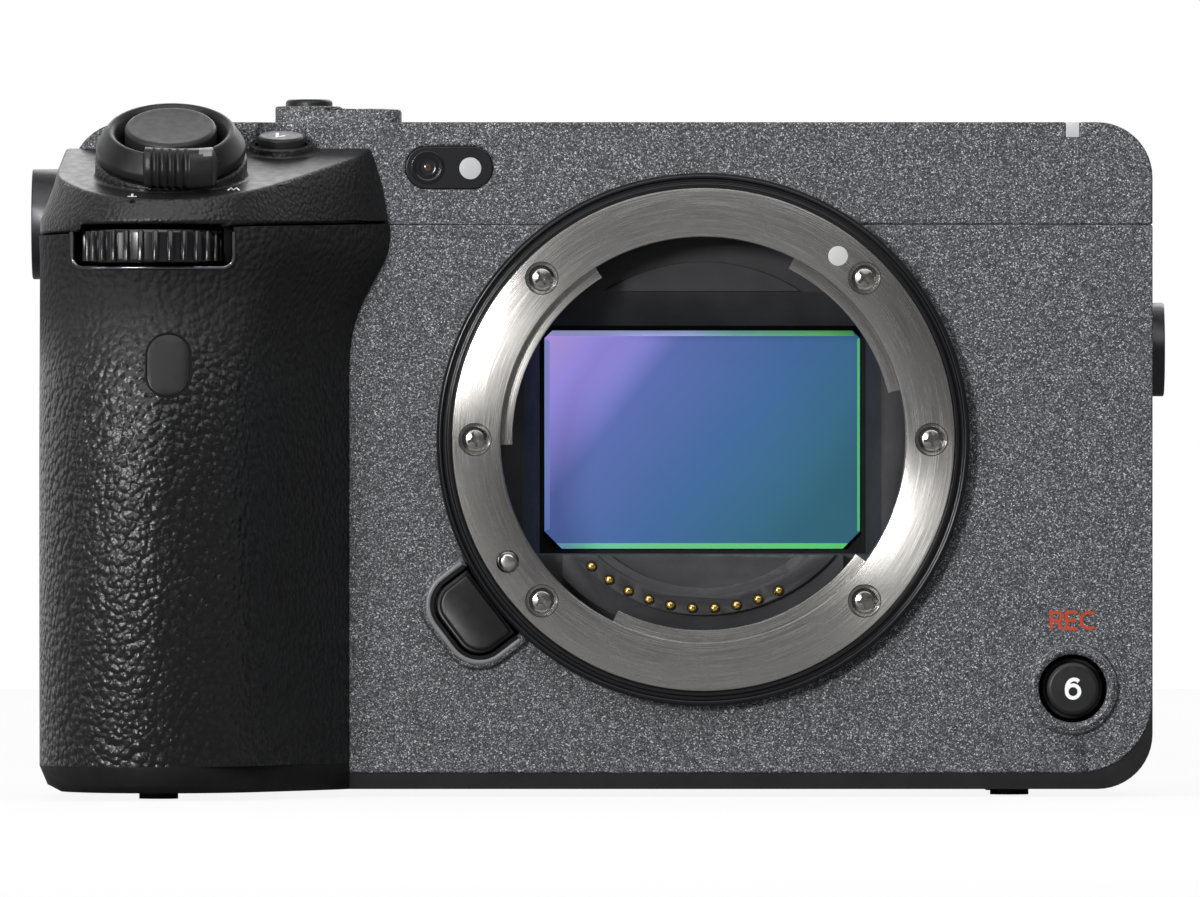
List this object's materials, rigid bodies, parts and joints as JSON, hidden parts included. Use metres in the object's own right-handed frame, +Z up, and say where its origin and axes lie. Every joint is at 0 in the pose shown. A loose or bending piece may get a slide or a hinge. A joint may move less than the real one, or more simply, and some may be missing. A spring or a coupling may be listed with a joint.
{
  "type": "cinema camera",
  "caption": "Box-shaped full-frame cinema camera body with a hand grip, a bare bayonet lens mount, a folding monitor, sprung controls and threaded mounting points",
  "frame": {"origin": "centre of the lens mount, in the plane of its flange face", "axes": "+Z up, +X to the port side, +Y from the lens flange back to the monitor; the lens looks along -Y"},
  "size_m": [0.1292, 0.0773, 0.0796],
  "materials": {
    "grey_paint": "speckled grey paint",
    "black_plastic": "fine matt grain",
    "dark_plastic": "flocked matt black",
    "grip_rubber": "leather grain",
    "steel": "circular brush",
    "gold": "gold plated",
    "cast_metal": "as cast",
    "blade": "matt black",
    "sensor": "coated glass",
    "board": "solder mask",
    "window_glass": "gloss",
    "lamp": "translucent",
    "dark_metal": "black oxide",
    "dial_metal": "satin black",
    "key_black": "satin",
    "screen_glass": "gloss"
  },
  "bodies": {
    "camera_body": {"front_cover": "grey_paint", "top_cover": "grey_paint", "side_cover": "grey_paint", "rear_cover": "black_plastic", "bottom_cover": "black_plastic", "grip_frame": "black_plastic", "grip_rubber": "grip_rubber", "grip_top_cover": "black_plastic", "mount_ring": "steel", "mount_collar": "black_plastic", "mount_screws": "steel", "contact_block": "dark_plastic", "mount_chassis": "cast_metal", "light_box": "dark_plastic", "shutter_frame": "dark_plastic", "stabiliser_base": "cast_metal", "main_board": "board", "heat_sink": "cast_metal", "front_window": "window_glass", "grip_window": "black_plastic", "tally_lamp": "lamp", "accessory_shoe": "steel", "thread_inserts": "dark_metal", "socket_block": "dark_plastic", "card_reader": "dark_metal", "battery": "dark_plastic"},
    "lens_release": {"lens_release_button": "black_plastic"},
    "lock_pin": {"lock_pin": "steel"},
    "contact_pins": {"contact_pins": "gold"},
    "shutter_blade_1": {"shutter_blade_1": "blade"},
    "shutter_blade_2": {"shutter_blade_2": "blade"},
    "shutter_blade_3": {"shutter_blade_3": "blade"},
    "stabiliser_frame": {"stabiliser_frame": "cast_metal"},
    "sensor": {"sensor_holder": "dark_plastic", "sensor_glass": "sensor"},
    "fan_rotor": {"fan_rotor": "dark_plastic"},
    "shutter_button": {"shutter_button": "key_black"},
    "zoom_lever": {"zoom_lever": "key_black"},
    "deck_button": {"deck_button": "key_black"},
    "record_button": {"record_button": "key_black"},
    "top_button": {"top_button": "key_black"},
    "top_record_button": {"top_record_button": "key_black"},
    "front_dial": {"front_dial": "dial_metal"},
    "rear_dial": {"rear_dial": "dial_metal"},
    "control_wheel": {"control_wheel": "dial_metal"},
    "menu_button": {"menu_button": "key_black"},
    "playback_button": {"playback_button": "key_black"},
    "focus_button": {"focus_button": "key_black"},
    "centre_button": {"centre_button": "key_black"},
    "joystick_gimbal": {"joystick_gimbal": "dark_metal"},
    "joystick_cap": {"joystick_cap": "key_black"},
    "power_switch": {"power_switch": "key_black"},
    "card_door": {"card_door": "black_plastic"},
    "audio_door": {"audio_door": "black_plastic"},
    "data_door": {"data_door": "black_plastic"},
    "battery_door": {"battery_door": "black_plastic"},
    "battery_latch": {"battery_latch": "black_plastic"},
    "monitor": {"monitor_bracket": "black_plastic", "monitor_housing": "black_plastic", "monitor_glass": "screen_glass"}
  },
  "joints": [
    {"name": "lens_release_press", "type": "slide", "parent": "camera_body", "child": "lens_release", "axis": [0, 1, 0], "range_m": [0, 0.0012], "stiffness_N_per_m": 300, "springref_m": -0.0005},
    {"name": "lock_pin_draw", "type": "slide", "parent": "camera_body", "child": "lock_pin", "axis": [0, 1, 0], "range_m": [0, 0.0012]},
    {"name": "contact_pins_press", "type": "slide", "parent": "camera_body", "child": "contact_pins", "axis": [0, 1, 0], "range_m": [0, 0.0006], "stiffness_N_per_m": 300, "springref_m": -0.0005},
    {"name": "shutter_blade_1_close", "type": "slide", "parent": "camera_body", "child": "shutter_blade_1", "axis": [0, 0, 1], "range_m": [0, 0.0268]},
    {"name": "shutter_blade_2_close", "type": "slide", "parent": "camera_body", "child": "shutter_blade_2", "axis": [0, 0, 1], "range_m": [0, 0.01787]},
    {"name": "shutter_blade_3_close", "type": "slide", "parent": "camera_body", "child": "shutter_blade_3", "axis": [0, 0, 1], "range_m": [0, 0.00893]},
    {"name": "stabiliser_shift_x", "type": "slide", "parent": "camera_body", "child": "stabiliser_frame", "axis": [1, 0, 0], "range_m": [-0.0012, 0.0012], "stiffness_N_per_m": 300},
    {"name": "stabiliser_shift_z", "type": "slide", "parent": "stabiliser_frame", "child": "sensor", "axis": [0, 0, 1], "range_m": [-0.0012, 0.0012], "stiffness_N_per_m": 600, "springref_m": 0.0003},
    {"name": "fan_spin", "type": "hinge", "parent": "camera_body", "child": "fan_rotor", "pos_m": [0.03, 0.03, 0], "axis": [0, 1, 0], "continuous": true},
    {"name": "shutter_press", "type": "slide", "parent": "camera_body", "child": "shutter_button", "axis": [0, 0.4384, -0.8988], "range_m": [0, 0.0012], "stiffness_N_per_m": 400, "springref_m": -0.0005},
    {"name": "zoom_turn", "type": "hinge", "parent": "camera_body", "child": "zoom_lever", "pos_m": [-0.0602, -0.014, 0.0354], "axis": [0, -0.4384, 0.8988], "range_deg": [-16, 16], "stiffness_Nm_per_rad": 0.02},
    {"name": "deck_button_press", "type": "slide", "parent": "camera_body", "child": "deck_button", "axis": [0, 0.2317, -0.9728], "range_m": [0, 0.0006], "stiffness_N_per_m": 300, "springref_m": -0.0005},
    {"name": "record_button_press", "type": "slide", "parent": "camera_body", "child": "record_button", "axis": [0, 1, 0], "range_m": [0, 0.0006], "stiffness_N_per_m": 300, "springref_m": -0.0005},
    {"name": "top_button_press", "type": "slide", "parent": "camera_body", "child": "top_button", "axis": [0, 0, -1], "range_m": [0, 0.0006], "stiffness_N_per_m": 300, "springref_m": -0.0005},
    {"name": "top_record_button_press", "type": "slide", "parent": "camera_body", "child": "top_record_button", "axis": [0, 0, -1], "range_m": [0, 0.0006], "stiffness_N_per_m": 300, "springref_m": -0.0005},
    {"name": "front_dial_turn", "type": "hinge", "parent": "camera_body", "child": "front_dial", "pos_m": [-0.06205, -0.0174, 0.0217], "axis": [0, 0, 1], "continuous": true},
    {"name": "rear_dial_turn", "type": "hinge", "parent": "camera_body", "child": "rear_dial", "pos_m": [-0.06, 0.0364, 0.0308], "axis": [0, 0, 1], "continuous": true},
    {"name": "control_wheel_turn", "type": "hinge", "parent": "camera_body", "child": "control_wheel", "pos_m": [-0.0505, 0.046, -0.009], "axis": [0, 1, 0], "continuous": true},
    {"name": "menu_button_press", "type": "slide", "parent": "camera_body", "child": "menu_button", "axis": [0, -1, 0], "range_m": [0, 0.0006], "stiffness_N_per_m": 300, "springref_m": -0.0005},
    {"name": "playback_button_press", "type": "slide", "parent": "camera_body", "child": "playback_button", "axis": [0, -1, 0], "range_m": [0, 0.0006], "stiffness_N_per_m": 300, "springref_m": -0.0005},
    {"name": "focus_button_press", "type": "slide", "parent": "camera_body", "child": "focus_button", "axis": [0, -1, 0], "range_m": [0, 0.0006], "stiffness_N_per_m": 300, "springref_m": -0.0005},
    {"name": "centre_button_press", "type": "slide", "parent": "camera_body", "child": "centre_button", "axis": [0, -1, 0], "range_m": [0, 0.0006], "stiffness_N_per_m": 300, "springref_m": -0.0005},
    {"name": "joystick_side", "type": "hinge", "parent": "camera_body", "child": "joystick_gimbal", "pos_m": [-0.047, 0.0448, 0.013], "axis": [0, 0, 1], "range_deg": [-8, 8], "stiffness_Nm_per_rad": 0.01},
    {"name": "joystick_lift", "type": "hinge", "parent": "joystick_gimbal", "child": "joystick_cap", "pos_m": [-0.047, 0.0448, 0.013], "axis": [1, 0, 0], "range_deg": [-8, 8], "stiffness_Nm_per_rad": 0.01},
    {"name": "power_slide", "type": "slide", "parent": "camera_body", "child": "power_switch", "axis": [1, 0, 0], "range_m": [0, 0.004]},
    {"name": "card_door_open", "type": "hinge", "parent": "camera_body", "child": "card_door", "pos_m": [-0.07125, 0.03775, 0], "axis": [0, 0, -1], "range_deg": [0, 100]},
    {"name": "audio_door_open", "type": "hinge", "parent": "camera_body", "child": "audio_door", "pos_m": [0.05045, 0.03635, 0], "axis": [0, 0, 1], "range_deg": [0, 100]},
    {"name": "data_door_open", "type": "hinge", "parent": "camera_body", "child": "data_door", "pos_m": [0.05045, 0.03635, 0], "axis": [0, 0, 1], "range_deg": [0, 100]},
    {"name": "battery_door_open", "type": "hinge", "parent": "camera_body", "child": "battery_door", "pos_m": [-0.04975, 0, -0.03905], "axis": [0, -1, 0], "range_deg": [0, 100]},
    {"name": "battery_latch_slide", "type": "slide", "parent": "battery_door", "child": "battery_latch", "axis": [1, 0, 0], "range_m": [0, 0.002]},
    {"name": "monitor_open", "type": "hinge", "parent": "camera_body", "child": "monitor", "pos_m": [0.048, 0.045, 0], "axis": [0, 0, -1], "range_deg": [0, 176]}
  ],
  "couplings": [
    {"joint": "lock_pin_draw", "follows": "lens_release_press", "ratio": 1},
    {"joint": "shutter_blade_2_close", "follows": "shutter_blade_1_close", "ratio": 0.66667},
    {"joint": "shutter_blade_3_close", "follows": "shutter_blade_1_close", "ratio": 0.33333}
  ]
}
